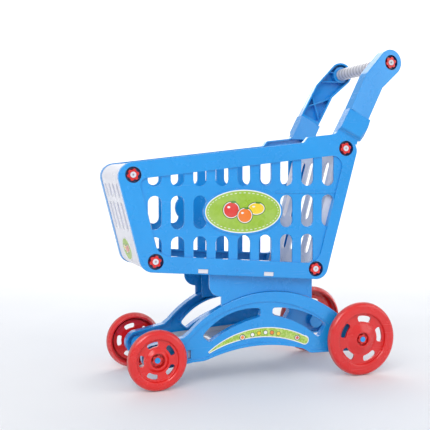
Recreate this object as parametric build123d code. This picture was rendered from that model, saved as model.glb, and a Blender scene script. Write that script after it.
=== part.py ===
from build123d import *
import math
import os

# A children's shopping cart in moulded plastic. X runs from the nose to the handle,
# Y across the cart and Z up; the wheels stand on Z = 0 and the origin is under the
# middle of the cart. Sizes are millimetres and angles are degrees.

# Plan: both side panels and both side frames toe in towards the nose
PLAN_TAPER = 3.02
BASKET_HALF_WIDTH = 82.9
FRAME_HALF_WIDTH = 71.5

# Basket seen from the side
BASKET_FRONT = -190.2
BASKET_REAR = 95.5
BASKET_BOTTOM = 160.1
BASKET_TOP = 356.5
BOTTOM_TILT = -4.26
TOP_TILT = 6.6
FRONT_RAKE = 14.2
REAR_RAKE = 14.85
SHOULDER_START = 59.0
SHOULDER_RISE = 7.5

# Side panel moulding
PANEL_DEPTH = 10.0
SKIN = 3.0
FLANGE = 2.5
RIM_ROUND = 1.2
FRONT_BORDER = 28.6
REAR_BORDER = 18.2
TOP_BORDER = 25.0
BOTTOM_BORDER = 24.5
LATTICE_RECESS = 2.5
LATTICE_THICKNESS = 3.0

# Lattice slots
SLOT_COLUMNS = 9
SLOT_PITCH = 33.88
SLOT_WIDTH = 19.9
FIRST_SLOT = -171.3
TOP_ROW_FOOT = 297.9
MIDDLE_ROW = (235.2, 284.2)
BOTTOM_ROW_HEAD = 224.3
RAIL_HEIGHT = 288.0
RAIL_START = 14.0

# Oval badge on each side panel
BADGE_X = -37.0
BADGE_Z = 260.0
BADGE_RADII = (59.5, 32.4)
BADGE_PLATE_MARGIN = 2.4
BADGE_PLATE_RISE = 1.6
LABEL_THICKNESS = 0.5

# Gate marks left by the mould: a dimple on the rim and one on each arm
GATE_RADIUS = 0.9
GATE_DEPTH = 0.5
GATE_ON_RIM = (-47.0, 172.0)
GATE_ON_ARM = (168.4, 442.7)

# Pegs of the white panels and their nuts
PEG_RADIUS = 4.4
PEG_CLEARANCE = 0.1
PEG_SIDE_INSET = (22.7, 19.9)
PEG_TOP_INSET = (18.0, 16.2)
PEG_BOTTOM_INSET = 16.0
NUT_RADIUS = 8.9
NUT_HEIGHT = 7.0
NUT_LOBES = 6
RECESS_RADIUS = 11.6
RECESS_DEPTH = 7.5
BOSS_RADIUS = 14.2

# White front and rear panels
WHITE_WALL = 2.5
FRONT_INSET = 1.6
FRONT_CURL = 9.0
REAR_FACE_AHEAD = 9.0
REAR_RIM_DEPTH = 17.0
FRONT_SLOT_WIDTH = 11.0
FRONT_SLOT_PITCH = 27.0
FRONT_SLOT_ROWS = ((281.0, 302.0), (232.0, 274.0))
REAR_SLOT_WIDTH = 14.0
REAR_SLOT_PITCH = 28.5
REAR_SLOT_ROWS = ((243.0, 334.0), (192.0, 229.0))
FRONT_LABEL_RADII = (27.0, 17.5)
FRONT_LABEL_Z = 202.0

# Basket floor
FLOOR_SILL = 2.0
FLOOR_THICKNESS = 3.0
TAB_HEIGHT = 6.0
TAB_LENGTH = 15.0
TAB_PLACES = (-99.5, 3.0)
FLOOR_SIDE_GAP = 0.2

# Handle arm and its socket on the side panel
ARM_LEAN = 27.3
ARM_TAPER = -6.0
MITRE_SPARE = 3.0
SEAM_X = 149.2
SEAM_Z = 407.4
SOCKET_HALF_WIDTH = 19.4
SOCKET_LENGTH = 36.0
SOCKET_ROOT = 46.0
SOCKET_FLARE = 3.8
SOCKET_PROUD = 6.0
SOCKET_DEPTH = 14.0
SOCKET_WALL = 2.4
SOCKET_FOOT_STEP = 0.8
TANG_CLEARANCE = 0.2
ARM_HALF_WIDTH = 18.0
ARM_PROUD = 5.0
ARM_DEPTH = 18.0
ARM_WALL = 2.8
ELBOW_RISE = 60.0
RING_X = 206.4
RING_Z = 489.6
RING_RADIUS = 20.2
RIB = 2.0
RISING_RIB = (18.0, 55.0)
FALLING_RIB = (46.0, 9.0)
SHELF_DROP = 12.5
STAY_RISE = 6.0

# Handle bar
BAR_RADIUS = 10.2
BEAD_DEPTH = 1.0
BEAD_COUNT = 15
BAR_SEAT = 14.0

# Wheels and stub axles
FRONT_AXLE_X = -169.4
FRONT_WHEEL_RADIUS = 45.0
FRONT_WHEEL_WIDTH = 17.0
FRONT_TRACK = 167.4
REAR_AXLE_X = 155.9
REAR_WHEEL_RADIUS = 57.7
REAR_WHEEL_WIDTH = 17.0
REAR_TRACK = 198.0
STUB_RADIUS = 4.2
RUNNING_CLEARANCE = 0.08
WHEEL_SIDE_PLAY = 0.3
WHEEL_NUT_RADIUS = 7.9
WHEEL_NUT_HEIGHT = 5.0

# Side frame
FRAME_DEPTH = 14.0
FRAME_WEB = 3.0
FRAME_WALL = 2.6
BAND_RELIEF = 1.5
FIELD_RIM = 4.0
FRAME_RIM_ROUND = 0.8
ARCH_CENTRE = (12.0, -39.0)
ARCH_RADIUS = 175.0
BAND_CENTRE = (0.5, -42.0)
BAND_RADIUS = 163.0
SILL_CENTRE = (-1.0, -186.0)
SILL_RADIUS = 240.0
FRONT_END_RADIUS = 19.5
REAR_END_RADIUS = 21.0

# Saddle
SADDLE_FRONT = -86.0
SADDLE_REAR = 83.0
SADDLE_HALF_WIDTH = 66.0
SADDLE_WALL = 3.0
SADDLE_SKIRT_FOOT = 131.5
SADDLE_STEP = -67.0
SADDLE_LEG_FRONT = -60.0
SADDLE_LEG_REAR = 70.0
SADDLE_LEG_FOOT = 113.0
SEAT_GAP = 0.2
DOWEL_RADIUS = 3.0
DOWEL_PLACES = ((-30.0, 122.0), (45.0, 119.0))

# Lower tray
TRAY_TILT = 2.9
TRAY_RIM = 63.7
TRAY_HEIGHT = 9.0
TRAY_WALL = 2.5
TRAY_FRONT = -119.5
TRAY_REAR = 82.0
SNAP_LENGTH = 4.6
SNAP_HEIGHT = 12.5
SNAP_WALL = 2.0
SNAP_SINK = 7.0
SNAP_DROP = 4.7
TRAY_SLOT_COUNT = 6

FAR = 400.0
LEFT = -1
RIGHT = 1


# ---------------------------------------------------------------- plane geometry
def tangent(line):
    angle = math.radians(line[2])
    return math.cos(angle), math.sin(angle)


def shifted(line, distance):
    """The line moved to its own left."""
    along_x, along_z = tangent(line)
    return line[0] - along_z * distance, line[1] + along_x * distance, line[2]


def meet(first, second):
    """The point where two lines (x, z, angle) cross."""
    ax, az = tangent(first)
    bx, bz = tangent(second)
    run = ((second[0] - first[0]) * bz - (second[1] - first[1]) * bx) / (ax * bz - az * bx)
    return first[0] + ax * run, first[1] + az * run


def height_at(line, x):
    return line[1] + math.tan(math.radians(line[2])) * (x - line[0])


def spot(place):
    """A location in the drawing plane."""
    return Pos(place[0], place[1])


def rounded(points, radii):
    return make_face(FilletPolyline(*points, radius=radii, close=True))


BOTTOM_LINE = (0.0, BASKET_BOTTOM, BOTTOM_TILT)
REAR_LINE = (BASKET_REAR, height_at(BOTTOM_LINE, BASKET_REAR), 90 - REAR_RAKE)
TOP_LINE = (0.0, BASKET_TOP, 180 + TOP_TILT)
FRONT_LINE = (BASKET_FRONT, height_at(BOTTOM_LINE, BASKET_FRONT), FRONT_RAKE - 90)


def basket_corners(bottom, rear, top, front):
    """Corners of the basket's side, each edge moved in by its own inset."""
    edges = [
        shifted(BOTTOM_LINE, bottom),
        shifted(REAR_LINE, rear),
        shifted(TOP_LINE, top),
        shifted(FRONT_LINE, front),
    ]
    return [meet(edges[i - 1], edges[i]) for i in range(4)]


def basket_outline(inset=0.0):
    corners = basket_corners(inset, inset, inset, inset)
    return rounded(corners, [20 - inset, 19 - inset, 20 - inset, 21 - inset])


def lattice_window():
    corners = basket_corners(BOTTOM_BORDER, REAR_BORDER, TOP_BORDER, FRONT_BORDER)
    return rounded(corners, [24, 22, 16, 10])


def peg_places():
    """Front bottom, rear bottom, rear top and front top pegs."""
    front, rear = PEG_SIDE_INSET
    front_top, rear_top = PEG_TOP_INSET
    low_and_rear = basket_corners(PEG_BOTTOM_INSET, rear, rear_top, front)[:3]
    return low_and_rear + basket_corners(PEG_BOTTOM_INSET, rear, front_top, front)[3:]


# ---------------------------------------------------------------- placing in space
def side_plane(half_width, taper):
    """Drawing plane on the outside of the left-hand side, looking from outside."""
    angle = math.radians(taper)
    return Plane(
        origin=(0, -half_width, 0),
        x_dir=(math.cos(angle), -math.sin(angle), 0),
        z_dir=(-math.sin(angle), -math.cos(angle), 0),
    )


def on_side(shape, half_width, taper=PLAN_TAPER):
    return side_plane(half_width, taper).location * shape


def reach(half_width, x, outward=0.0, taper=PLAN_TAPER):
    """Distance from the middle plane to a side's face, or to a plane parallel to it."""
    angle = math.radians(taper)
    along = x + outward * math.sin(angle)
    return half_width + outward * math.cos(angle) + along * math.tan(angle)


def mirrored(shape, side):
    return shape if side == LEFT else mirror(shape, about=Plane.XZ)


def between(half_width, outward):
    """Everything between the two sides' faces, moved outward by a distance."""
    nose = reach(half_width, -FAR, outward)
    tail = reach(half_width, FAR, outward)
    outline = Polyline((-FAR, -nose), (FAR, -tail), (FAR, tail), (-FAR, nose), close=True)
    return extrude(make_face(outline), 2 * FAR)


def across(face, width=2 * FAR):
    """A face drawn in X-Z, extruded across the cart and centred on it."""
    return Pos(0, width / 2, 0) * Rot(90, 0, 0) * extrude(face, width)


def rod(place, radius, inner, outer):
    """A cylinder along Y on the left, between two distances from the middle plane."""
    centre = Pos(place[0], -(inner + outer) / 2, place[1])
    return centre * Rot(90, 0, 0) * Cylinder(radius, outer - inner)


def prism(face, start, end):
    """A face in a side's drawing plane, extruded between two depths."""
    return Pos(0, 0, start) * extrude(face, end - start)


def with_soft_rim(body, radius):
    """The same prism with the edge round its outer face rounded off."""
    return fillet(body.faces().sort_by(Axis.Z)[-1].edges(), radius)


# ---------------------------------------------------------------- side panels
def arm_axis():
    angle = math.radians(ARM_LEAN)
    return math.sin(angle), math.cos(angle)


def arm_point(across_arm, along_arm):
    """A point given in the handle arm's own directions, from the middle of the seam."""
    lean_x, lean_z = arm_axis()
    x = SEAM_X + across_arm * lean_z + along_arm * lean_x
    z = SEAM_Z - across_arm * lean_x + along_arm * lean_z
    return x, z


def socket_outline(grown=0.0):
    half = SOCKET_HALF_WIDTH + grown
    foot = -SOCKET_LENGTH - grown
    corners = [
        arm_point(-half, 0),
        arm_point(-half, foot),
        arm_point(half + SOCKET_FLARE * 0.5, foot),
        arm_point(half + SOCKET_FLARE, -SOCKET_LENGTH * 0.75),
        arm_point(half, 0),
    ]
    return make_face(Polyline(*corners, close=True))


def shoulder_outline():
    """The raised step of the top edge and the web that carries the socket."""
    step = shifted(TOP_LINE, -SHOULDER_RISE)
    ramp = (SHOULDER_START, height_at(TOP_LINE, SHOULDER_START), 50)
    arm_front = (*arm_point(-SOCKET_HALF_WIDTH, 0), 90 - ARM_LEAN)
    low = BASKET_TOP - TOP_BORDER / 2
    corners = [
        (SHOULDER_START - 15, low),
        (SHOULDER_START - 15, height_at(TOP_LINE, SHOULDER_START - 15)),
        meet(ramp, TOP_LINE),
        meet(ramp, step),
        meet(step, arm_front),
        arm_point(-SOCKET_HALF_WIDTH, -2),
        arm_point(SOCKET_HALF_WIDTH * 0.5, -2),
        arm_point(SOCKET_HALF_WIDTH, -SOCKET_LENGTH - 6),
    ]
    return rounded(corners, [0, 0, 4, 4, 8, 0, 0, 0])


def slot(x, low, high):
    """An upright slot with round ends."""
    length = high - low
    return Pos(x, (low + high) / 2) * SlotOverall(length, SLOT_WIDTH, rotation=90)


def lattice_slots():
    open_slots = Sketch()
    head = BASKET_TOP + 60
    foot = BASKET_BOTTOM - 60
    for column in range(SLOT_COLUMNS):
        x = FIRST_SLOT + column * SLOT_PITCH
        open_slots += slot(x, TOP_ROW_FOOT, head)
        open_slots += slot(x, *MIDDLE_ROW)
        if column < SLOT_COLUMNS - 1:
            open_slots += slot(x, foot, BOTTOM_ROW_HEAD)
    return open_slots


def badge_oval(grown=0.0):
    wide, tall = BADGE_RADII
    return Pos(BADGE_X, BADGE_Z) * Ellipse(wide + grown, tall + grown)


def socket_box():
    """The deep part of the socket, whose front wall runs on down behind the top rim."""
    half = SOCKET_HALF_WIDTH
    corners = [
        arm_point(-half, 0),
        arm_point(-half, -SOCKET_ROOT),
        arm_point(0, -SOCKET_LENGTH),
        arm_point(half, -SOCKET_LENGTH),
        arm_point(half, 0),
    ]
    return make_face(Polyline(*corners, close=True))


def socket_shell():
    """The socket's deep box and its proud face, which slopes back to the rim at the foot."""
    proud = prism(socket_outline(), -1, SOCKET_PROUD)
    edges = proud.faces().sort_by(Axis.Z)[-1].edges().sort_by(Axis((0, 0, 0), (*arm_axis(), 0)))
    proud = chamfer(edges[:2], SOCKET_PROUD - SOCKET_FOOT_STEP)
    return prism(socket_box(), -SOCKET_DEPTH, 0) + proud


def tang_outline(clearance=0.0):
    half = SOCKET_HALF_WIDTH - SOCKET_WALL - clearance
    foot = -SOCKET_LENGTH + SOCKET_WALL + clearance
    corners = [arm_point(-half, 1), arm_point(-half, foot), arm_point(half, foot), arm_point(half, 1)]
    return make_face(Polyline(*corners, close=True))


def tab_box(x, grown=0.0, outer=1.0):
    """A floor tab, seen from the side, as it passes through the panel's rim."""
    foot = (x, height_at(BOTTOM_LINE, x) + FLOOR_SILL + TAB_HEIGHT / 2)
    face = Rectangle(TAB_LENGTH + 2 * grown, TAB_HEIGHT + 2 * grown, rotation=BOTTOM_TILT)
    return prism(spot(foot) * face, -PANEL_DEPTH - 3, outer)


def gate_mark(place, face):
    return prism(spot(place) * Circle(GATE_RADIUS), face - GATE_DEPTH, face + 1)


def side_panel():
    outline = basket_outline() + shoulder_outline()
    window = lattice_window()
    body = with_soft_rim(prism(basket_outline() + shoulder_outline(), -PANEL_DEPTH, 0), RIM_ROUND)
    body += prism(socket_outline(), -PANEL_DEPTH, 0)

    hollow = offset(outline, -FLANGE) - offset(window, FLANGE)
    for place in peg_places():
        hollow -= spot(place) * Circle(BOSS_RADIUS)
    hollow -= socket_outline(grown=1)
    body -= prism(hollow, -PANEL_DEPTH - 1, -SKIN)

    lattice_back = -LATTICE_RECESS - LATTICE_THICKNESS
    plate_front = BADGE_PLATE_RISE - LATTICE_RECESS
    oval = badge_oval(BADGE_PLATE_MARGIN)
    rail_length = BASKET_REAR + 20 - RAIL_START
    rail = Pos(RAIL_START + rail_length / 2, RAIL_HEIGHT) * Rectangle(rail_length, 3)
    body -= prism(window, -PANEL_DEPTH - 1, 1)
    body += prism(offset(window, 1) - lattice_slots() + oval, lattice_back, -LATTICE_RECESS)
    body += prism(oval, -LATTICE_RECESS - 1, plate_front)
    body += prism(rail & window, -LATTICE_RECESS - 1, 1 - LATTICE_RECESS)

    body += socket_shell()
    body -= prism(tang_outline(), SOCKET_WALL - SOCKET_DEPTH, SOCKET_PROUD - SOCKET_WALL)
    body -= gate_mark(GATE_ON_RIM, 0)
    for x in TAB_PLACES:
        body -= tab_box(x, grown=FLOOR_SIDE_GAP)
    body = on_side(body, BASKET_HALF_WIDTH)
    for place in peg_places():
        face = reach(BASKET_HALF_WIDTH, place[0])
        body -= rod(place, PEG_RADIUS + PEG_CLEARANCE, face - 2 * PANEL_DEPTH, face + 2)
        body -= rod(place, RECESS_RADIUS, face - RECESS_DEPTH, face + 2)
    return body


# ---------------------------------------------------------------- pegs and nuts
def peg(place, inner, tip):
    """A peg along Y whose end carries a small dimple."""
    return rod(place, PEG_RADIUS, inner, tip) - rod(place, PEG_RADIUS * 0.3, tip - 3, tip + 1)


def nut(place, radius, bore, inner, height):
    """A six-lobed nut on the left, standing on a face at a distance from the middle plane."""
    lobe = radius * 0.3
    profile = Circle(radius * 0.78)
    for turn in range(NUT_LOBES):
        angle = math.radians(turn * 360 / NUT_LOBES + 15)
        arm = radius - lobe
        profile += Pos(arm * math.cos(angle), arm * math.sin(angle)) * Circle(lobe)
    profile -= Circle(bore)
    centre = Pos(place[0], -inner, place[1])
    return centre * Rot(90, 0, 0) * extrude(profile, height)


def recess_floor(place):
    return reach(BASKET_HALF_WIDTH, place[0]) - RECESS_DEPTH


def basket_nuts():
    bore = PEG_RADIUS + PEG_CLEARANCE
    return [nut(p, NUT_RADIUS, bore, recess_floor(p), NUT_HEIGHT) for p in peg_places()]


def panel_pegs(places):
    """Pegs and their root bosses on both ends of a white panel."""
    pegs = Part()
    for place in places:
        seat = reach(BASKET_HALF_WIDTH, place[0], -PANEL_DEPTH)
        tip = recess_floor(place) + NUT_HEIGHT + 0.6
        pegs += peg(place, seat - WHITE_WALL, tip)
    return pegs + mirrored(pegs, RIGHT)


# ---------------------------------------------------------------- white panels
def strip_slots(rows, width, pitch, count, cutter_x):
    """Slots through a cross panel, one column after another across the cart."""
    cuts = Part()
    for column in range(count):
        y = (column - (count - 1) / 2) * pitch
        for low, high in rows:
            face = SlotOverall(high - low, width, rotation=90)
            upright = Plane(origin=(cutter_x, y, (low + high) / 2), x_dir=(0, 1, 0), z_dir=(1, 0, 0))
            cuts += upright.location * extrude(face, 90, both=True)
    return cuts


def front_zone():
    """The part of the basket's side that the front panel fills."""
    line = shifted(FRONT_LINE, PEG_SIDE_INSET[0] + FRONT_CURL)
    low = meet(line, (0, 0, 0))
    high = meet(line, (0, 2 * FAR, 0))
    return make_face(Polyline((-FAR, 0), low, high, (-FAR, 2 * FAR), close=True))


def front_panel():
    outer = basket_outline(FRONT_INSET) & front_zone()
    wall = outer - basket_outline(FRONT_INSET + WHITE_WALL)
    inside = between(BASKET_HALF_WIDTH, -PANEL_DEPTH)
    core = between(BASKET_HALF_WIDTH, -PANEL_DEPTH - WHITE_WALL)
    body = across(wall) + (across(outer) - core)
    places = (peg_places()[0], peg_places()[3])
    for place in places:
        seat = reach(BASKET_HALF_WIDTH, place[0], -PANEL_DEPTH)
        boss = rod(place, PEG_RADIUS + 3, seat - 14, seat)
        body += boss + mirrored(boss, RIGHT)
    body -= strip_slots(FRONT_SLOT_ROWS, FRONT_SLOT_WIDTH, FRONT_SLOT_PITCH, 4, -260)
    body = body & inside
    return body + panel_pegs(places)


def rear_face_line():
    return shifted(REAR_LINE, PEG_SIDE_INSET[1] + REAR_FACE_AHEAD)


def rear_outline(inset=0.0):
    """Section of the rear panel's tray, open towards the back of the cart."""
    face = shifted(rear_face_line(), -inset)
    back = shifted(rear_face_line(), -REAR_RIM_DEPTH)
    low = shifted(BOTTOM_LINE, FLOOR_SILL + TAB_HEIGHT / 2 + inset)
    high = shifted(TOP_LINE, 3 + inset)
    if inset:
        back = shifted(back, -5)
    corners = [meet(low, face), meet(low, back), meet(back, high), meet(high, face)]
    return rounded(corners, [3, 2, 2, 3])


def rear_panel():
    inside = between(BASKET_HALF_WIDTH, -PANEL_DEPTH)
    core = between(BASKET_HALF_WIDTH, -PANEL_DEPTH - WHITE_WALL)
    section = rear_outline()
    body = across(section) - (across(rear_outline(WHITE_WALL)) & core)
    places = (peg_places()[1], peg_places()[2])
    for place in places:
        seat = reach(BASKET_HALF_WIDTH, place[0], -PANEL_DEPTH)
        boss = rod(place, PEG_RADIUS + 3, seat - 12, seat) & across(section)
        body += boss + mirrored(boss, RIGHT)
    body -= strip_slots(REAR_SLOT_ROWS, REAR_SLOT_WIDTH, REAR_SLOT_PITCH, 5, 40)
    body = body & inside
    return body + panel_pegs(places)


# ---------------------------------------------------------------- basket floor
def floor_ends():
    """Where the floor starts behind the front panel and stops before the rear one."""
    low = shifted(BOTTOM_LINE, FLOOR_SILL)
    front = meet(low, shifted(FRONT_LINE, PEG_SIDE_INSET[0] + FRONT_CURL + SEAT_GAP))
    rear = meet(low, shifted(rear_face_line(), SEAT_GAP))
    return front, rear


def floor_strip(thickness):
    front, rear = floor_ends()
    top = shifted(BOTTOM_LINE, FLOOR_SILL + thickness)
    front_edge = (*front, 90 + FRONT_RAKE)
    rear_edge = (*rear, 90 - REAR_RAKE)
    corners = [front, rear, meet(top, rear_edge), meet(top, front_edge)]
    return across(make_face(Polyline(*corners, close=True)))


def basket_floor():
    room = between(BASKET_HALF_WIDTH, -PANEL_DEPTH - FLOOR_SIDE_GAP)
    rims = room - between(BASKET_HALF_WIDTH, -PANEL_DEPTH - FLOOR_SIDE_GAP - WHITE_WALL)
    body = floor_strip(FLOOR_THICKNESS) & room
    body += floor_strip(TAB_HEIGHT) & rims
    for x in TAB_PLACES:
        tab = on_side(tab_box(x, outer=-0.4), BASKET_HALF_WIDTH)
        body += tab + mirrored(tab, RIGHT)
    return body


# ---------------------------------------------------------------- handle
def hull(first, second):
    """Outline that wraps two circles given as (centre, radius); their seams face each other."""
    edges = []
    for (centre, radius), (other, _) in ((first, second), (second, first)):
        turn = math.degrees(math.atan2(other[1] - centre[1], other[0] - centre[0]))
        edges += (spot(centre) * Rot(0, 0, turn) * Circle(radius)).edges()
    return make_hull(edges)


def arm_outline(inset=0.0, foot=0.0):
    half = ARM_HALF_WIDTH - inset
    elbow = arm_point(0, ELBOW_RISE)
    corners = [
        arm_point(-half, foot),
        arm_point(half, foot),
        arm_point(half, ELBOW_RISE),
        arm_point(-half, ELBOW_RISE),
    ]
    straight = make_face(Polyline(*corners, close=True))
    return straight + hull((elbow, half), ((RING_X, RING_Z), RING_RADIUS - inset))


def bar(start, end, thickness=RIB):
    """A straight strip between two points of the drawing plane."""
    run = math.dist(start, end)
    turn = math.degrees(math.atan2(end[1] - start[1], end[0] - start[0]))
    middle = ((start[0] + end[0]) / 2, (start[1] + end[1]) / 2)
    return spot(middle) * Rectangle(run, thickness, rotation=turn)


def arm_ribs():
    """A cross of two ribs, a shelf below the ring and a short stay above it."""
    half = ARM_HALF_WIDTH
    ring = (RING_X, RING_Z)
    front_rise, rear_rise = RISING_RIB
    ribs = bar(arm_point(-half, front_rise), arm_point(half, rear_rise))
    front_rise, rear_rise = FALLING_RIB
    ribs += bar(arm_point(half, rear_rise), arm_point(-half, front_rise))
    shelf = RING_Z - SHELF_DROP
    ribs += bar((RING_X - 2 * RING_RADIUS, shelf), (RING_X + RING_RADIUS, shelf))
    ribs += bar((RING_X - RING_RADIUS, RING_Z + STAY_RISE), ring)
    return ribs & arm_outline(ARM_WALL / 2)


def below_seam():
    """Everything on the socket's side of the seam, to mitre the arm's foot to the panel."""
    reach_across = 3 * SOCKET_HALF_WIDTH
    drop = -SOCKET_LENGTH
    corners = [
        arm_point(-reach_across, 0),
        arm_point(reach_across, 0),
        arm_point(reach_across, drop),
        arm_point(-reach_across, drop),
    ]
    return make_face(Polyline(*corners, close=True))


def arm_half_width():
    """Where the arm's own plane, which meets the panel's at the seam, crosses X = 0."""
    return reach(BASKET_HALF_WIDTH, SEAM_X) - SEAM_X * math.tan(math.radians(ARM_TAPER))


def ring_face():
    """Distance from the middle plane to the outside of the arm at the handle bar."""
    return reach(arm_half_width(), RING_X, ARM_PROUD, ARM_TAPER)


def handle_arm():
    back = ARM_PROUD - ARM_DEPTH
    web = ARM_PROUD - SKIN
    body = with_soft_rim(prism(arm_outline(foot=-MITRE_SPARE), back, ARM_PROUD), RIM_ROUND)
    body -= prism(arm_outline(ARM_WALL, ARM_WALL + MITRE_SPARE), back - 1, web)
    body += prism(arm_ribs(), back + 5, web + 1)
    tang_back = SOCKET_WALL - SOCKET_DEPTH + TANG_CLEARANCE
    tang_front = SOCKET_PROUD - SOCKET_WALL - TANG_CLEARANCE
    tang = prism(tang_outline(TANG_CLEARANCE), tang_back, tang_front)
    core = offset(tang_outline(TANG_CLEARANCE), -ARM_WALL)
    tang -= prism(core, tang_back - 1, tang_front - SKIN)
    body -= gate_mark(GATE_ON_ARM, ARM_PROUD)
    body = on_side(body, arm_half_width(), ARM_TAPER)
    body -= on_side(prism(below_seam(), -FAR, FAR), BASKET_HALF_WIDTH)
    body += on_side(tang, BASKET_HALF_WIDTH)

    ring = (RING_X, RING_Z)
    face = ring_face()
    seat = bar_seat()
    body += rod(ring, RECESS_RADIUS + 2.4, seat, face - 2)
    body -= rod(ring, RECESS_RADIUS, face - RECESS_DEPTH, face + 4)
    body -= rod(ring, PEG_RADIUS + PEG_CLEARANCE, seat - 10, face + 4)
    body -= rod(ring, BAR_RADIUS + 1, seat - 10, seat)
    return body


def bar_seat():
    return ring_face() - BAR_SEAT


def handle_bar():
    """A grip turned with shallow beads, and a peg at each end."""
    seat = bar_seat()
    pitch = 2 * seat / BEAD_COUNT
    edges = [Line((0, -seat), (BAR_RADIUS - BEAD_DEPTH, -seat))]
    for bead in range(BEAD_COUNT):
        low = -seat + bead * pitch
        start = (BAR_RADIUS - BEAD_DEPTH, low)
        crown = (BAR_RADIUS, low + pitch / 2)
        end = (BAR_RADIUS - BEAD_DEPTH, low + pitch)
        edges.append(ThreePointArc(start, crown, end))
    edges.append(Line((BAR_RADIUS - BEAD_DEPTH, seat), (0, seat)))
    edges.append(Line((0, seat), (0, -seat)))
    grip = revolve(make_face(edges), Axis.Y)
    tip = handle_nut_seat() + NUT_HEIGHT + 0.6
    end_peg = peg((0, 0), seat - 1, tip)
    return Pos(RING_X, 0, RING_Z) * (grip + end_peg + mirrored(end_peg, RIGHT))


def handle_nut_seat():
    return ring_face() - RECESS_DEPTH


def handle_nuts():
    place = (RING_X, RING_Z)
    bore = PEG_RADIUS + PEG_CLEARANCE
    return [nut(place, NUT_RADIUS, bore, handle_nut_seat(), NUT_HEIGHT)]


# ---------------------------------------------------------------- wheels
FRONT_AXLE = (FRONT_AXLE_X, FRONT_WHEEL_RADIUS)
REAR_AXLE = (REAR_AXLE_X, REAR_WHEEL_RADIUS)

# Radii of each wheel's rings: inside of the tyre, hub, nut recess and slot circle
FRONT_RINGS = {"tyre": 31.0, "hub": 17.5, "recess": 10.6, "slots": 24.2, "slot_width": 7.4, "sweep": 39}
REAR_RINGS = {"tyre": 39.8, "hub": 24.5, "recess": 10.3, "slots": 31.8, "slot_width": 9.4, "sweep": 41}
# How far the hub's crown and the nut's seat lie below the wheel's outer plane
FRONT_HUB = {"crown": 2.0, "seat": 11.5}
REAR_HUB = {"crown": 0.5, "seat": 6.5}
TYRE_ROUND = 7.5
TYRE_TUCK = 5.0
WHEEL_WALL = 2.6
DISC_FRONT = 5.5
DISC_THICKNESS = 3.5
HUB_SLOTS = 5


def kidney(rings, turn):
    """One slot along the wheel's slot circle."""
    middle, width = rings["slots"], rings["slot_width"]
    half = math.radians(rings["sweep"] / 2)
    tip = (2 * middle * math.cos(half), 2 * middle * math.sin(half))
    wedge = make_face(Polyline((0, 0), (tip[0], -tip[1]), tip, close=True))
    ring = Circle(middle + width / 2) - Circle(middle - width / 2)
    return Rot(0, 0, turn) * softened(ring & wedge, 0.36 * width)


def wheel(radius, width, rings, sinks, first_slot):
    """A wheel about Z: its inner side at Z = 0 and its outer side at Z = width."""
    bore = STUB_RADIUS + RUNNING_CLEARANCE
    tyre, hub, recess = rings["tyre"], rings["hub"], rings["recess"]
    disc_top = width - DISC_FRONT
    disc_low = disc_top - DISC_THICKNESS
    belt = 0.5 * width
    rim = radius - WHEEL_WALL
    seat = width - sinks["seat"]
    crown = width - sinks["crown"]
    points = [
        (bore, 0),
        (recess + 2.5, 0),
        (recess + 2.5, disc_low),
        (tyre + WHEEL_WALL, disc_low),
        (tyre + WHEEL_WALL, width - WHEEL_WALL),
        (rim, width - WHEEL_WALL),
        (rim, belt),
        (rim - TYRE_TUCK, 0),
        (radius - TYRE_TUCK, 0),
        (radius, belt),
        (radius, width),
        (tyre, width),
        (tyre, disc_top),
        (hub, disc_top),
        (recess + 2.5, crown),
        (recess, crown),
        (recess, seat),
        (bore, seat),
    ]
    inner_round = TYRE_ROUND - WHEEL_WALL
    radii = [0, 0.5, 1, 0.5, 1, inner_round, 2, 0, 1, 5, TYRE_ROUND, 3, 1, 1, 1.5, 0.6, 0.5, 0]
    face = Rot(90, 0, 0) * rounded(points, radii)
    body = revolve(face, Axis.Z)
    cuts = Sketch()
    for number in range(HUB_SLOTS):
        cuts += kidney(rings, first_slot + number * 360 / HUB_SLOTS)
    return body - extrude(cuts, 2 * width, both=True)


def placed_wheel(shape, axle, track, width):
    return Pos(axle[0], -track / 2 + width, axle[1]) * Rot(90, 0, 0) * shape


def front_wheel():
    shape = wheel(FRONT_WHEEL_RADIUS, FRONT_WHEEL_WIDTH, FRONT_RINGS, FRONT_HUB, 35)
    return placed_wheel(shape, FRONT_AXLE, FRONT_TRACK, FRONT_WHEEL_WIDTH)


def rear_wheel():
    shape = wheel(REAR_WHEEL_RADIUS, REAR_WHEEL_WIDTH, REAR_RINGS, REAR_HUB, 9)
    return placed_wheel(shape, REAR_AXLE, REAR_TRACK, REAR_WHEEL_WIDTH)


def wheel_nut_seat(track, sinks):
    return track / 2 - sinks["seat"] + WHEEL_SIDE_PLAY


def wheel_nut(axle, track, sinks):
    bore = STUB_RADIUS + PEG_CLEARANCE
    return nut(axle, WHEEL_NUT_RADIUS, bore, wheel_nut_seat(track, sinks), WHEEL_NUT_HEIGHT)


# ---------------------------------------------------------------- side frames
def beside(axle, along, up):
    """A point given from an axle's centre."""
    return axle[0] + along, axle[1] + up


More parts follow.
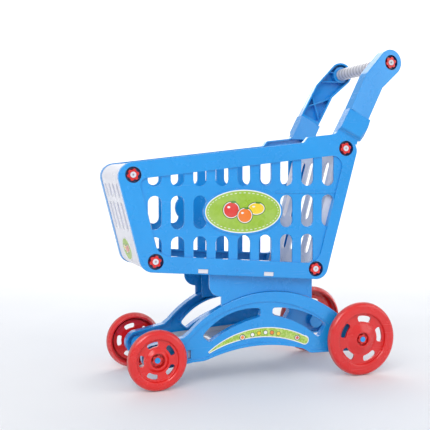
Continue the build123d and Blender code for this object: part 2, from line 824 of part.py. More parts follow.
def frame_outline():
    """The arch, the sill cut out below it and the arms that run out to both axles."""
    shin = beside(FRONT_AXLE, 52, 9)
    knee = beside(FRONT_AXLE, 75, 24)
    heel = beside(REAR_AXLE, -74, -4.5)
    arch_zone = Polyline(
        beside(FRONT_AXLE, 54, -10.5),
        beside(FRONT_AXLE, 79, -9),
        beside(REAR_AXLE, -90, -20),
        beside(REAR_AXLE, -64, -8),
        beside(REAR_AXLE, 30, -8),
        beside(REAR_AXLE, 30, FAR),
        beside(FRONT_AXLE, 54, FAR),
        close=True,
    )
    outline = (spot(ARCH_CENTRE) * Circle(ARCH_RADIUS)) & make_face(arch_zone)
    outline -= spot(SILL_CENTRE) * Circle(SILL_RADIUS)
    outline += hull((FRONT_AXLE, FRONT_END_RADIUS), (shin, 20))
    outline += hull((shin, 20), (knee, 22))
    outline += hull((REAR_AXLE, REAR_END_RADIUS), (heel, 16))
    for corner, radius in ((beside(FRONT_AXLE, 78, -9), 40), (beside(REAR_AXLE, -87, -13.5), 20)):
        nearest = outline.vertices().sort_by_distance((*corner, 0))[0]
        outline = fillet(nearest, radius)
    return outline


def arc_face(points):
    """A face bounded by arcs through successive groups of three points, and lines."""
    edges = []
    for piece in points:
        if len(piece) == 3:
            edges.append(ThreePointArc(*piece))
        else:
            edges.append(Line(*piece))
    return make_face(edges)


def softened(face, radius):
    return fillet(face.vertices(), radius)


def front_window():
    tip, crown, neck = (-97, 73), (-60, 102.5), (-5, 111)
    low, belly, heel = (-5, 98), (-45, 86), (-86, 63)
    face = arc_face([(tip, crown, neck), (neck, low), (low, belly, heel), (heel, tip)])
    return softened(face, 4.5)


def rear_window():
    neck, crown, tip = (14.5, 111), (60, 104.5), (104, 81)
    heel, belly, low = (91, 60), (55, 86), (14.5, 99)
    face = arc_face([(neck, crown, tip), (tip, heel), (heel, belly, low), (low, neck)])
    return softened(face, 4.5)


def snap_places():
    """Middles of the tray's snap tabs, front and rear."""
    places = []
    for x in (TRAY_FRONT + SNAP_LENGTH / 2, TRAY_REAR - SNAP_LENGTH / 2):
        rim = height_at((0, TRAY_RIM, TRAY_TILT), x)
        places.append((x, rim - SNAP_DROP - SNAP_HEIGHT / 2))
    return places


def snap_face(place, grown=0.0):
    return spot(place) * Rectangle(SNAP_LENGTH + 2 * grown, SNAP_HEIGHT + 2 * grown)


def sunk_field(inset=0.0):
    """The shallow field below the arch's raised band, where the label sits."""
    field = offset(frame_outline(), -FIELD_RIM - inset)
    field &= spot(BAND_CENTRE) * Circle(BAND_RADIUS - inset)
    field -= spot(FRONT_AXLE) * Circle(FRONT_END_RADIUS)
    field -= spot(REAR_AXLE) * Circle(REAR_END_RADIUS)
    return field


def side_frame():
    outline = frame_outline()
    windows = front_window() + rear_window()
    body = with_soft_rim(prism(outline, -FRAME_DEPTH, 0), FRAME_RIM_ROUND)
    body -= prism(sunk_field(), -BAND_RELIEF, 1)

    hollow = offset(outline, -FRAME_WALL) - offset(windows, FRAME_WALL)
    hollow -= spot(FRONT_AXLE) * Circle(11)
    hollow -= spot(REAR_AXLE) * Circle(12)
    for place in DOWEL_PLACES:
        hollow -= spot(place) * Circle(DOWEL_RADIUS + 2.4)
    for place in snap_places():
        hollow -= snap_face(place, SNAP_WALL)
    body -= prism(hollow, -FRAME_DEPTH - 1, -FRAME_WEB - BAND_RELIEF)
    body -= prism(windows, -FRAME_DEPTH - 1, 1)
    for place in DOWEL_PLACES:
        body -= prism(spot(place) * Circle(DOWEL_RADIUS + PEG_CLEARANCE), -FRAME_DEPTH - 1, -5.5)
    front_snap, rear_snap = snap_places()
    body -= prism(snap_face(front_snap, SEAT_GAP), -FRAME_DEPTH - 1, 1)
    body -= prism(snap_face(rear_snap, SEAT_GAP), -FRAME_DEPTH - 1, -SNAP_SINK + SEAT_GAP)
    body = on_side(body, FRAME_HALF_WIDTH)
    for axle, track, width, sinks in (
        (FRONT_AXLE, FRONT_TRACK, FRONT_WHEEL_WIDTH, FRONT_HUB),
        (REAR_AXLE, REAR_TRACK, REAR_WHEEL_WIDTH, REAR_HUB),
    ):
        inner = reach(FRAME_HALF_WIDTH, axle[0]) - FRAME_WEB
        shoulder = track / 2 - width - WHEEL_SIDE_PLAY
        body += rod(axle, STUB_RADIUS + 4.5, inner, shoulder)
        tip = wheel_nut_seat(track, sinks) + WHEEL_NUT_HEIGHT + 0.7
        body += rod(axle, STUB_RADIUS, inner, tip)
    return body


# ---------------------------------------------------------------- saddle
def saddle():
    top = shifted(BOTTOM_LINE, FLOOR_SILL)
    under = shifted(top, -SADDLE_WALL)
    front = (SADDLE_FRONT, 0, 90)
    rear = (SADDLE_REAR, 0, 90)
    deck = Polyline(meet(top, front), meet(top, rear), meet(under, rear), meet(under, front), close=True)
    body = across(make_face(deck), 2 * SADDLE_HALF_WIDTH)

    turn = SADDLE_STEP - SADDLE_FRONT - 0.5
    below = SADDLE_SKIRT_FOOT - 25
    corners = [
        meet(top, front),
        (SADDLE_FRONT, SADDLE_SKIRT_FOOT),
        (SADDLE_STEP, SADDLE_SKIRT_FOOT),
        (SADDLE_STEP, below),
        (SADDLE_REAR, below),
        meet(top, rear),
    ]
    skirt_face = rounded(corners, [0, turn, 0, 0, 0, 0])
    skirts = across(skirt_face, 2 * SADDLE_HALF_WIDTH)
    skirts -= across(skirt_face, 2 * (SADDLE_HALF_WIDTH - SADDLE_WALL))
    arch = on_side(prism(offset(frame_outline(), SEAT_GAP), -FAR / 4, FAR / 4), FRAME_HALF_WIDTH)
    skirts -= arch
    skirts -= mirrored(arch, RIGHT)
    body += skirts

    legs_face = make_face(
        Polyline(
            (SADDLE_LEG_FRONT, SADDLE_LEG_FOOT),
            (SADDLE_LEG_REAR, SADDLE_LEG_FOOT),
            (SADDLE_LEG_REAR, height_at(top, SADDLE_LEG_REAR)),
            (SADDLE_LEG_FRONT, height_at(top, SADDLE_LEG_FRONT)),
            close=True,
        )
    )
    outside = between(FRAME_HALF_WIDTH, -FRAME_DEPTH - SEAT_GAP)
    inside = between(FRAME_HALF_WIDTH, -FRAME_DEPTH - SEAT_GAP - SADDLE_WALL)
    body += across(legs_face) & (outside - inside)
    dowels = Part()
    for place in DOWEL_PLACES:
        dowels += prism(spot(place) * Circle(DOWEL_RADIUS), -FRAME_DEPTH - SADDLE_WALL, -6)
    dowels = on_side(dowels, FRAME_HALF_WIDTH)
    return body + dowels + mirrored(dowels, RIGHT)


# ---------------------------------------------------------------- lower tray
def lower_tray():
    rim = (0, TRAY_RIM, TRAY_TILT)
    foot = shifted(rim, -TRAY_HEIGHT)
    deck_top = shifted(foot, TRAY_WALL)
    room = between(FRAME_HALF_WIDTH, -FRAME_DEPTH - SEAT_GAP)
    core = between(FRAME_HALF_WIDTH, -FRAME_DEPTH - SEAT_GAP - TRAY_WALL)
    whole = strip_between(foot, rim, TRAY_FRONT, TRAY_REAR)
    bowl = strip_between(deck_top, shifted(rim, 5), TRAY_FRONT + TRAY_WALL, TRAY_REAR - TRAY_WALL)
    body = (across(whole) & room) - (across(bowl) & core)
    pitch = (TRAY_REAR - TRAY_FRONT - 30) / TRAY_SLOT_COUNT
    for number in range(TRAY_SLOT_COUNT):
        x = TRAY_FRONT + 15 + (number + 0.5) * pitch
        body -= Pos(x, 0, TRAY_RIM) * extrude(SlotOverall(70, 9, rotation=90), FAR / 8, both=True)
    for place in snap_places():
        drop = Pos(0, SNAP_DROP / 2) * spot(place) * Rectangle(SNAP_LENGTH, SNAP_HEIGHT + SNAP_DROP)
        snap = prism(snap_face(place), -FRAME_DEPTH - SEAT_GAP - 1, -SNAP_SINK)
        snap += prism(drop, -FRAME_DEPTH - SEAT_GAP - 6, -FRAME_DEPTH - SEAT_GAP)
        snap = on_side(snap, FRAME_HALF_WIDTH)
        body += snap + mirrored(snap, RIGHT)
    return body


def strip_between(low, high, front_x, rear_x):
    """The band between two lines, cut off upright at both ends."""
    corners = [
        (front_x, height_at(low, front_x)),
        (rear_x, height_at(low, rear_x)),
        (rear_x, height_at(high, rear_x)),
        (front_x, height_at(high, front_x)),
    ]
    return make_face(Polyline(*corners, close=True))


# ---------------------------------------------------------------- labels
def side_badge():
    front = BADGE_PLATE_RISE - LATTICE_RECESS
    return on_side(prism(badge_oval(), front, front + LABEL_THICKNESS), BASKET_HALF_WIDTH)


def crescent_label():
    tip, crown, rear = (-88.5, 48.5), (2, 81.5), (67, 65.5)
    nose, low, belly, end = (74, 56), (66, 51), (2, 66.5), (-86, 46.5)
    face = arc_face([(tip, crown, rear), (rear, nose, low), (low, belly, end), (end, tip)])
    face = softened(face, 1.2) & sunk_field(SEAT_GAP)
    label = prism(face, -BAND_RELIEF, LABEL_THICKNESS - BAND_RELIEF)
    return on_side(label, FRAME_HALF_WIDTH)


def front_label():
    face_line = shifted(FRONT_LINE, FRONT_INSET)
    x, z = meet(face_line, (0, FRONT_LABEL_Z, 0))
    rake = math.radians(FRONT_RAKE)
    plane = Plane(
        origin=(x, 0, z), x_dir=(0, -1, 0), z_dir=(-math.cos(rake), 0, -math.sin(rake))
    )
    return plane.location * extrude(Ellipse(*FRONT_LABEL_RADII), LABEL_THICKNESS)


# ---------------------------------------------------------------- the whole cart
def pair(name, shape):
    """A left-hand part and its mirror image."""
    return {f"left_{name}": shape, f"right_{name}": mirrored(shape, RIGHT)}


def all_parts():
    parts = {
        "front_panel": front_panel(),
        "rear_panel": rear_panel(),
        "basket_floor": basket_floor(),
        "handle_bar": handle_bar(),
        "saddle": saddle(),
        "lower_tray": lower_tray(),
        "front_label": front_label(),
    }
    parts |= pair("side_panel", side_panel())
    parts |= pair("handle_arm", handle_arm())
    parts |= pair("side_frame", side_frame())
    parts |= pair("front_wheel", front_wheel())
    parts |= pair("rear_wheel", rear_wheel())
    parts |= pair("front_wheel_nut", wheel_nut(FRONT_AXLE, FRONT_TRACK, FRONT_HUB))
    parts |= pair("rear_wheel_nut", wheel_nut(REAR_AXLE, REAR_TRACK, REAR_HUB))
    parts |= pair("side_badge", side_badge())
    parts |= pair("crescent_label", crescent_label())
    nuts = basket_nuts()
    parts["left_basket_nuts"] = Compound(nuts)
    parts["right_basket_nuts"] = Compound([mirrored(n, RIGHT) for n in nuts])
    grip_nuts = handle_nuts()
    parts["handle_nuts"] = Compound(grip_nuts + [mirrored(n, RIGHT) for n in grip_nuts])
    return parts


os.makedirs("parts", exist_ok=True)
for name, shape in all_parts().items():
    export_step(shape, f"parts/{name}.step")
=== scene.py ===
import math

import bpy
from mathutils import Euler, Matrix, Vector

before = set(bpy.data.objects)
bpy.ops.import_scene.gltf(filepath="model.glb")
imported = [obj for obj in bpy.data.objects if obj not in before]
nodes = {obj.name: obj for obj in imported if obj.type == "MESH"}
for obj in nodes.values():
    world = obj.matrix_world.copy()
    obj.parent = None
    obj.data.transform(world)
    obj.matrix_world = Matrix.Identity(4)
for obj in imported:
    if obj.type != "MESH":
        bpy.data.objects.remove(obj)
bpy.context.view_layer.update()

# ---------------------------------------------------------------- node helpers


def new_material(name):
    """A material with an empty tree, its Principled shader and an object-space position."""
    material = bpy.data.materials.new(name)
    material.use_nodes = True
    tree = material.node_tree
    tree.nodes.clear()
    output = tree.nodes.new("ShaderNodeOutputMaterial")
    shader = tree.nodes.new("ShaderNodeBsdfPrincipled")
    tree.links.new(shader.outputs["BSDF"], output.inputs["Surface"])
    coords = tree.nodes.new("ShaderNodeTexCoord")
    return material, tree, shader, coords.outputs["Object"]


def noise(tree, where, scale, detail=3.0, rough=0.55):
    node = tree.nodes.new("ShaderNodeTexNoise")
    node.inputs["Scale"].default_value = scale
    node.inputs["Detail"].default_value = detail
    node.inputs["Roughness"].default_value = rough
    tree.links.new(where, node.inputs["Vector"])
    return node.outputs["Fac"]


def spread(tree, value, low, high, out_low, out_high, smooth=True):
    """Maps a value's range onto another, clamped."""
    node = tree.nodes.new("ShaderNodeMapRange")
    node.interpolation_type = "SMOOTHSTEP" if smooth else "LINEAR"
    node.inputs["From Min"].default_value = low
    node.inputs["From Max"].default_value = high
    node.inputs["To Min"].default_value = out_low
    node.inputs["To Max"].default_value = out_high
    tree.links.new(value, node.inputs["Value"])
    return node.outputs["Result"]


def blend_colours(tree, factor, first, second):
    """Mixes two colours, each a tuple or a socket, by a socket."""
    node = tree.nodes.new("ShaderNodeMix")
    node.data_type = "RGBA"
    tree.links.new(factor, node.inputs["Factor"])
    for socket, colour in ((node.inputs[6], first), (node.inputs[7], second)):
        if isinstance(colour, tuple):
            socket.default_value = (*colour, 1.0)
        else:
            tree.links.new(colour, socket)
    return node.outputs[2]


def calc(tree, operation, first, second=0.0):
    node = tree.nodes.new("ShaderNodeMath")
    node.operation = operation
    for socket, value in zip(node.inputs, (first, second)):
        if isinstance(value, (int, float)):
            socket.default_value = value
        else:
            tree.links.new(value, socket)
    return node.outputs["Value"]


def axes(tree, where):
    node = tree.nodes.new("ShaderNodeSeparateXYZ")
    tree.links.new(where, node.inputs["Vector"])
    return node.outputs["X"], node.outputs["Y"], node.outputs["Z"]


def bumpy(tree, shader, height, strength, distance, edge=0.0006):
    """Surface grain over softly rounded edges."""
    node = tree.nodes.new("ShaderNodeBump")
    node.inputs["Strength"].default_value = strength
    node.inputs["Distance"].default_value = distance
    tree.links.new(height, node.inputs["Height"])
    if edge:
        rounded = tree.nodes.new("ShaderNodeBevel")
        rounded.samples = 4
        rounded.inputs["Radius"].default_value = edge
        tree.links.new(rounded.outputs["Normal"], node.inputs["Normal"])
    tree.links.new(node.outputs["Normal"], shader.inputs["Normal"])


def edge_mask(tree, radius):
    """1 along sharp edges and 0 on open faces."""
    rounded = tree.nodes.new("ShaderNodeBevel")
    rounded.samples = 6
    rounded.inputs["Radius"].default_value = radius
    geometry = tree.nodes.new("ShaderNodeNewGeometry")
    turn = tree.nodes.new("ShaderNodeVectorMath")
    turn.operation = "DOT_PRODUCT"
    tree.links.new(rounded.outputs["Normal"], turn.inputs[0])
    tree.links.new(geometry.outputs["Normal"], turn.inputs[1])
    return spread(tree, turn.outputs["Value"], 0.82, 0.99, 1.0, 0.0)


def scratches(tree, where, turn):
    """Thin hairlines that all run roughly one way."""
    mapping = tree.nodes.new("ShaderNodeMapping")
    mapping.inputs["Rotation"].default_value = turn
    mapping.inputs["Scale"].default_value = (14.0, 14.0, 420.0)
    tree.links.new(where, mapping.inputs["Vector"])
    return spread(tree, noise(tree, mapping.outputs["Vector"], 1.0, 2.0), 0.68, 0.76, 0.0, 1.0)


def moulded(name, colour, shade, roughness, grain=0.10, scuff=(0.75, 0.85, 0.95), scuffing=0.35,
            tread=None, recesses=(), grooves=None):
    """Moulded plastic: slow colour drift, fine grain, worn edges and hairline scratches.

    A tread is an axle (x, z) with the inner and outer radius that floor dust reaches. Each recess
    is (x, z, half width) of a nut's counterbore, which gets painted shade from its floor to the
    face. Grooves are a bar's axis (x, z), the radius of its grooves and of its crests, and half
    the length over which the grooves get painted shade.
    """
    material, tree, shader, where = new_material(name)
    drift = spread(tree, noise(tree, where, 9.0), 0.3, 0.7, 0.0, 1.0)
    base = blend_colours(tree, drift, colour, shade)
    across, sideways, up = axes(tree, where)
    # Painted shade: each nut counterbore is darkened to navy from its floor to the face.
    for x, z, half_width in recesses:
        inside = oval(tree, across, up, (x, z), (RECESS_RADIUS, RECESS_RADIUS))
        floor_of_it = half_width - RECESS_REACH
        outer = spread(tree, calc(tree, "ABSOLUTE", sideways), floor_of_it, floor_of_it + 0.0005, 0.0, 1.0)
        base = blend_colours(tree, calc(tree, "MULTIPLY", inside, outer), base, PAINTED_RECESS_SHADE)
    patches = spread(tree, noise(tree, where, 70.0, 6.0, 0.7), 0.45, 0.70, 0.0, scuffing)
    wear = calc(tree, "MULTIPLY", edge_mask(tree, 0.0009), patches)
    base = blend_colours(tree, wear, base, scuff)
    hairs = scratches(tree, where, (0.5, 0.3, 0.2))
    base = blend_colours(tree, calc(tree, "MULTIPLY", hairs, 0.05), base, scuff)
    smear = noise(tree, where, 22.0, 4.0, 0.6)
    rough = spread(tree, smear, 0.3, 0.7, roughness * 0.75, roughness * 1.3)
    rough = calc(tree, "ADD", rough, calc(tree, "MULTIPLY", hairs, 0.12))
    if tread:
        axle, inner, outer = tread
        radius = distance(tree, across, up, axle, (1.0, 1.0))
        rim = spread(tree, radius, inner, outer, 0.0, 1.0)
        dirt = spread(tree, noise(tree, where, 45.0, 6.0, 0.7), 0.35, 0.65, 0.10, 0.42)
        dust = calc(tree, "MULTIPLY", rim, dirt)
        base = blend_colours(tree, dust, base, (0.34, 0.27, 0.24))
        rough = calc(tree, "ADD", rough, calc(tree, "MULTIPLY", dust, 0.6))
    # Painted shade: the bar's grooves are darkened below the crests along its exposed length.
    if grooves:
        bar_axis, floor_radius, crest_radius, half_length = grooves
        radius = distance(tree, across, up, bar_axis, (1.0, 1.0))
        painted_groove_shade = spread(tree, radius, floor_radius, crest_radius, 0.75, 0.0)
        outward = calc(tree, "ABSOLUTE", sideways)
        between = spread(tree, outward, half_length, half_length + 0.001, 1.0, 0.0)
        base = blend_colours(tree, calc(tree, "MULTIPLY", painted_groove_shade, between), base, (0.24, 0.23, 0.25))
    tree.links.new(base, shader.inputs["Base Color"])
    tree.links.new(rough, shader.inputs["Roughness"])
    shader.inputs["IOR"].default_value = 1.5
    shader.inputs["Coat Weight"].default_value = 0.5
    shader.inputs["Coat Roughness"].default_value = 0.07
    fine = noise(tree, where, 900.0, 2.0)
    bumpy(tree, shader, fine, grain, 0.0002)
    return material


# ---------------------------------------------------------------- sticker artwork
INK_WHITE = (0.86, 0.87, 0.84)
INK_GREEN = (0.30, 0.50, 0.030)
INK_PALE = (0.36, 0.55, 0.050)
INK_DARK = (0.035, 0.085, 0.012)
INK_RED = (0.72, 0.030, 0.022)
INK_ORANGE = (0.86, 0.20, 0.012)
INK_YELLOW = (0.88, 0.62, 0.025)
INK_LEAF = (0.060, 0.24, 0.020)
PRINT_EDGE = 0.00012
FRUIT_OUTLINE = 0.0011
STITCH_WIDTH = 0.0009
FIRST_BEAD = -0.018
BEAD_PITCH = 0.0105
BEAD_CROWN = 0.0735


def distance(tree, across, up, centre, radii):
    """How far a point lies from a centre, with each direction in its own radius."""
    sides = []
    for value, middle, radius in zip((across, up), centre, radii):
        scaled = calc(tree, "DIVIDE", calc(tree, "SUBTRACT", value, middle), radius)
        sides.append(calc(tree, "POWER", calc(tree, "ABSOLUTE", scaled), 2.0))
    return calc(tree, "SQRT", calc(tree, "ADD", *sides))


def oval(tree, across, up, centre, radii):
    """1 inside an oval and 0 outside it."""
    soft = PRINT_EDGE / min(radii)
    return spread(tree, distance(tree, across, up, centre, radii), 1 - soft, 1 + soft, 1.0, 0.0)


def fruit(tree, base, across, up, centre, radii, colour):
    """A fruit with a dark and a white outline, a shine and a leaf."""
    x, z = centre
    wide, tall = radii
    shine = (x - wide * 0.35, z + tall * 0.38)
    leaf = (x + wide * 0.28, z + tall * 1.08)
    layers = (
        (centre, (wide + 2 * FRUIT_OUTLINE, tall + 2 * FRUIT_OUTLINE), INK_DARK),
        (centre, (wide + FRUIT_OUTLINE, tall + FRUIT_OUTLINE), INK_WHITE),
        (centre, radii, colour),
        (shine, (wide * 0.20, tall * 0.15), INK_WHITE),
        (leaf, (wide * 0.38, tall * 0.17), INK_LEAF),
    )
    for place, size, ink in layers:
        base = blend_colours(tree, oval(tree, across, up, place, size), base, ink)
    return base


def film(tree, shader, where, base):
    """Printed film: faint fading, a soft gloss and a slightly uneven surface."""
    fade = spread(tree, noise(tree, where, 30.0, 5.0), 0.35, 0.75, 0.0, 0.10)
    tree.links.new(blend_colours(tree, fade, base, (0.80, 0.82, 0.74)), shader.inputs["Base Color"])
    smear = noise(tree, where, 40.0, 4.0, 0.6)
    tree.links.new(spread(tree, smear, 0.3, 0.7, 0.24, 0.42), shader.inputs["Roughness"])
    bumpy(tree, shader, noise(tree, where, 260.0, 2.0), 0.08, 0.0002, edge=None)


def oval_label(name, sideways, centre, radii, rim, fruits, dashes):
    """An oval sticker that faces across the cart, or along it if it is sideways."""
    material, tree, shader, where = new_material(name)
    x, y, up = axes(tree, where)
    across = y if sideways else x
    wide, tall = radii
    speckle = spread(tree, noise(tree, where, 160.0, 3.0), 0.4, 0.6, 0.0, 0.6)
    field = blend_colours(tree, speckle, INK_GREEN, INK_PALE)
    inside = oval(tree, across, up, centre, (wide - rim, tall - rim))
    base = blend_colours(tree, inside, INK_WHITE, field)
    if dashes:
        gap = 2.6 * rim
        outer = oval(tree, across, up, centre, (wide - gap, tall - gap))
        inner = oval(tree, across, up, centre, (wide - gap - STITCH_WIDTH, tall - gap - STITCH_WIDTH))
        line = calc(tree, "SUBTRACT", outer, inner)
        rise = calc(tree, "DIVIDE", calc(tree, "SUBTRACT", up, centre[1]), tall)
        run = calc(tree, "DIVIDE", calc(tree, "SUBTRACT", across, centre[0]), wide)
        turn = calc(tree, "MULTIPLY", calc(tree, "ARCTAN2", rise, run), float(dashes))
        beat = spread(tree, calc(tree, "SINE", turn), -0.1, 0.1, 0.0, 1.0)
        base = blend_colours(tree, calc(tree, "MULTIPLY", line, beat), base, INK_WHITE)
    for place, size, colour in fruits:
        base = fruit(tree, base, across, up, place, size, colour)
    film(tree, shader, where, base)
    return material


def circle_through(a, b, c):
    """Centre and radius of the circle through three points."""
    d = 2 * (a[0] * (b[1] - c[1]) + b[0] * (c[1] - a[1]) + c[0] * (a[1] - b[1]))
    squares = [p[0] ** 2 + p[1] ** 2 for p in (a, b, c)]
    x = squares[0] * (b[1] - c[1]) + squares[1] * (c[1] - a[1]) + squares[2] * (a[1] - b[1])
    z = squares[0] * (c[0] - b[0]) + squares[1] * (a[0] - c[0]) + squares[2] * (b[0] - a[0])
    centre = (x / d, z / d)
    return centre, math.dist(centre, a)


def crescent_film(name, rim):
    """The sticker on the arch, between two arcs with a round end."""
    material, tree, shader, where = new_material(name)
    x, _, up = axes(tree, where)
    top, top_radius = circle_through((-0.0885, 0.0485), (0.002, 0.0815), (0.067, 0.0655))
    low, low_radius = circle_through((0.066, 0.051), (0.002, 0.0665), (-0.086, 0.0465))
    end, end_radius = circle_through((0.067, 0.0655), (0.074, 0.056), (0.066, 0.051))
    speckle = spread(tree, noise(tree, where, 330.0, 2.0), 0.42, 0.58, 0.0, 1.0)
    field = blend_colours(tree, speckle, INK_GREEN, (0.52, 0.68, 0.16))
    inside = oval(tree, x, up, top, (top_radius - rim, top_radius - rim))
    hollow = oval(tree, x, up, low, (low_radius + rim, low_radius + rim))
    nose = oval(tree, x, up, end, (end_radius - rim, end_radius - rim))
    before = spread(tree, x, 0.0655, 0.0660, 1.0, 0.0)
    inside = calc(tree, "MULTIPLY", inside, calc(tree, "SUBTRACT", 1.0, hollow))
    inside = calc(tree, "MULTIPLY", inside, calc(tree, "MAXIMUM", before, nose))
    base = blend_colours(tree, inside, INK_WHITE, field)
    middle = (top_radius + low_radius) / 2
    for step, colour in enumerate((INK_WHITE, INK_YELLOW, INK_WHITE, INK_ORANGE, INK_YELLOW)):
        along = FIRST_BEAD + BEAD_PITCH * step
        bead = (along, BEAD_CROWN - 0.9 * (along - 0.002) ** 2 / middle)
        base = blend_colours(tree, oval(tree, x, up, bead, (0.0036, 0.0036)), base, INK_DARK)
        base = blend_colours(tree, oval(tree, x, up, bead, (0.0028, 0.0028)), base, colour)
    base = fruit(tree, base, x, up, (-0.034, 0.0682), (0.0026, 0.0026), INK_ORANGE)
    base = fruit(tree, base, x, up, (0.055, 0.0625), (0.0026, 0.0022), INK_RED)
    film(tree, shader, where, base)
    return material


# ---------------------------------------------------------------- materials
# Navy painted shade inside the nut counterbores.
PAINTED_RECESS_SHADE = (0.012, 0.050, 0.220)
RECESS_RADIUS = 0.01175
RECESS_REACH = 0.0085
PANEL_RECESSES = ((-0.17047, 0.18884, 0.0739), (0.07948, 0.17022, 0.0871),
                  (-0.20239, 0.31496, 0.0722), (0.12849, 0.35506, 0.0897))
HANDLE_RECESS = ((0.2064, 0.4896, 0.0898),)
BLUE_TONES = (0.006, 0.285, 0.73), (0.010, 0.315, 0.78), 0.24
BLUE = moulded("blue_plastic", *BLUE_TONES, scuffing=0.28)
# The panel and arm copies of the blue carry painted shade in their nut counterbores.
PANEL_BLUE = moulded("panel_blue_plastic", *BLUE_TONES, scuffing=0.28, recesses=PANEL_RECESSES)
ARM_BLUE = moulded("arm_blue_plastic", *BLUE_TONES, scuffing=0.28, recesses=HANDLE_RECESS)
WHITE = moulded("white_plastic", (0.74, 0.73, 0.78), (0.69, 0.69, 0.75), 0.33, scuff=(0.50, 0.50, 0.53))
# The grip copy of the white is darker and carries painted shade in the bar's grooves.
GRIP_WHITE = moulded("grip_white_plastic", (0.66, 0.65, 0.69), (0.58, 0.58, 0.63), 0.38,
                     scuff=(0.45, 0.45, 0.48), grooves=((0.2064, 0.4896), 0.0092, 0.0101, 0.0740))
GREY = moulded("grey_plastic", (0.50, 0.53, 0.58), (0.45, 0.48, 0.54), 0.42, scuff=(0.35, 0.35, 0.4))
RED = moulded("red_plastic", (0.76, 0.014, 0.012), (0.68, 0.010, 0.010), 0.24, scuff=(0.9, 0.35, 0.33))
FRONT_TYRE = moulded("front_wheel_plastic", (0.76, 0.014, 0.012), (0.68, 0.010, 0.010), 0.24,
                     scuff=(0.9, 0.35, 0.33), tread=((-0.1694, 0.045), 0.0425, 0.0450))
REAR_TYRE = moulded("rear_wheel_plastic", (0.76, 0.014, 0.012), (0.68, 0.010, 0.010), 0.24,
                    scuff=(0.9, 0.35, 0.33), tread=((0.1559, 0.0577), 0.0550, 0.0577))
BADGE = oval_label("badge_film", False, (-0.037, 0.260), (0.0595, 0.0324), 0.0016,
                   (((-0.056, 0.2625), (0.0115, 0.0110), INK_RED),
                    ((-0.017, 0.2640), (0.0120, 0.0080), INK_YELLOW),
                    ((-0.035, 0.2540), (0.0105, 0.0100), INK_ORANGE)), 46)
CRESCENT = crescent_film("crescent_film", 0.0013)
FRONT_STICKER = oval_label("front_film", True, (0.0, 0.202), (0.027, 0.0170), 0.0009,
                           (((-0.009, 0.2035), (0.0052, 0.0052), INK_RED),
                            ((0.004, 0.2010), (0.0050, 0.0050), INK_ORANGE),
                            ((0.015, 0.2035), (0.0045, 0.0034), INK_YELLOW)), 0)

PAINT = {
    BLUE: ("saddle", "left_side_frame", "right_side_frame"),
    PANEL_BLUE: ("left_side_panel", "right_side_panel"),
    ARM_BLUE: ("left_handle_arm", "right_handle_arm"),
    WHITE: ("front_panel", "rear_panel", "basket_floor"),
    GRIP_WHITE: ("handle_bar",),
    GREY: ("lower_tray",),
    RED: ("left_basket_nuts", "right_basket_nuts", "handle_nuts", "left_front_wheel_nut",
          "right_front_wheel_nut", "left_rear_wheel_nut", "right_rear_wheel_nut"),
    FRONT_TYRE: ("left_front_wheel", "right_front_wheel"),
    REAR_TYRE: ("left_rear_wheel", "right_rear_wheel"),
    BADGE: ("left_side_badge", "right_side_badge"),
    CRESCENT: ("left_crescent_label", "right_crescent_label"),
    FRONT_STICKER: ("front_label",),
}
for material, names in PAINT.items():
    for name in names:
        for place in nodes[name].material_slots:
            place.material = material

# ---------------------------------------------------------------- camera
camera_data = bpy.data.cameras.new("camera")
camera_data.lens = 65.9
camera_data.sensor_width = 36.0
camera_data.clip_end = 50.0
camera = bpy.data.objects.new("camera", camera_data)
camera.location = (-0.4572, -1.1746, 0.3171)
camera.rotation_euler = Euler((math.radians(86.955), math.radians(0.04), math.radians(-18.93)))
bpy.context.collection.objects.link(camera)
bpy.context.scene.camera = camera

# ---------------------------------------------------------------- floor and light
FLOOR_RADIUS = 3.2
CURVE_RADIUS = 2.6
WALL_HEIGHT = 3.4
CURVE_STEPS = 12
SEGMENTS = 96


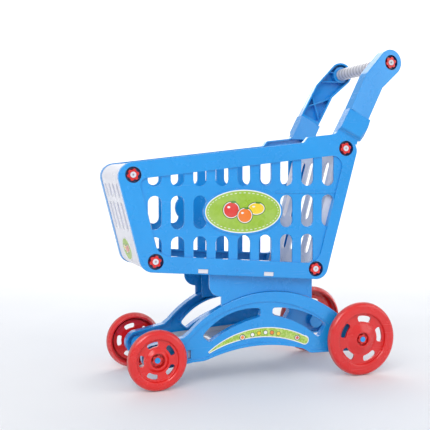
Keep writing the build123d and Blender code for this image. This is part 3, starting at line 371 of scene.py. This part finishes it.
def bowl():
    """A round floor that curves up into a wall, so that no view shows a horizon."""
    profile = [(FLOOR_RADIUS, 0.0)]
    for step in range(1, CURVE_STEPS + 1):
        angle = math.radians(90 * step / CURVE_STEPS)
        rise = CURVE_RADIUS - CURVE_RADIUS * math.cos(angle)
        profile.append((FLOOR_RADIUS + CURVE_RADIUS * math.sin(angle), rise))
    profile.append((FLOOR_RADIUS + CURVE_RADIUS, WALL_HEIGHT))
    corners = [(0.0, 0.0, 0.0)]
    for radius, height in profile:
        for segment in range(SEGMENTS):
            angle = 2 * math.pi * segment / SEGMENTS
            corners.append((radius * math.cos(angle), radius * math.sin(angle), height))
    faces = [(0, 1 + i, 1 + (i + 1) % SEGMENTS) for i in range(SEGMENTS)]
    for ring in range(len(profile) - 1):
        low = 1 + ring * SEGMENTS
        for i in range(SEGMENTS):
            after = (i + 1) % SEGMENTS
            faces.append((low + i, low + SEGMENTS + i, low + SEGMENTS + after, low + after))
    mesh = bpy.data.meshes.new("floor")
    mesh.from_pydata(corners, [], faces)
    mesh.shade_smooth()
    return mesh


floor_mesh = bowl()
floor = bpy.data.objects.new("floor", floor_mesh)
bpy.context.collection.objects.link(floor)
floor_material, floor_tree, floor_shader, floor_where = new_material("floor_paper")
tone = spread(floor_tree, noise(floor_tree, floor_where, 2.0), 0.3, 0.7, 0.0, 1.0)
paper = blend_colours(floor_tree, tone, (0.80, 0.81, 0.83), (0.83, 0.84, 0.86))
floor_tree.links.new(paper, floor_shader.inputs["Base Color"])
floor_shader.inputs["Roughness"].default_value = 0.9
floor_mesh.materials.append(floor_material)


def area_light(name, place, target, size, power, colour=(1.0, 1.0, 1.0)):
    data = bpy.data.lights.new(name, "AREA")
    data.shape = "RECTANGLE"
    data.size, data.size_y = size
    data.energy = power
    data.color = colour
    light = bpy.data.objects.new(name, data)
    light.location = place
    aim = Vector(target) - Vector(place)
    light.rotation_euler = aim.to_track_quat("-Z", "Y").to_euler()
    bpy.context.collection.objects.link(light)


area_light("key", (-1.6, -2.2, 2.2), (0, 0, 0.25), (2.0, 2.0), 35)
area_light("strip", (-0.9, -2.3, 1.5), (0, 0, 0.25), (0.22, 1.1), 9)
area_light("fill", (2.2, -1.8, 1.2), (0, 0, 0.25), (2.2, 1.6), 12)
area_light("wash_back", (1.2, 1.9, 3.4), (2.0, 5.4, 1.0), (3.0, 1.0), 120)
area_light("back", (0.8, 2.4, 2.0), (0, 0, 0.3), (2.4, 1.4), 20)

world = bpy.data.worlds.new("studio")
world.use_nodes = True
world.node_tree.nodes["Background"].inputs["Color"].default_value = (0.97, 0.98, 1.0, 1.0)
world.node_tree.nodes["Background"].inputs["Strength"].default_value = 0.70
bpy.context.scene.world = world
bpy.context.scene.view_settings.view_transform = "Standard"
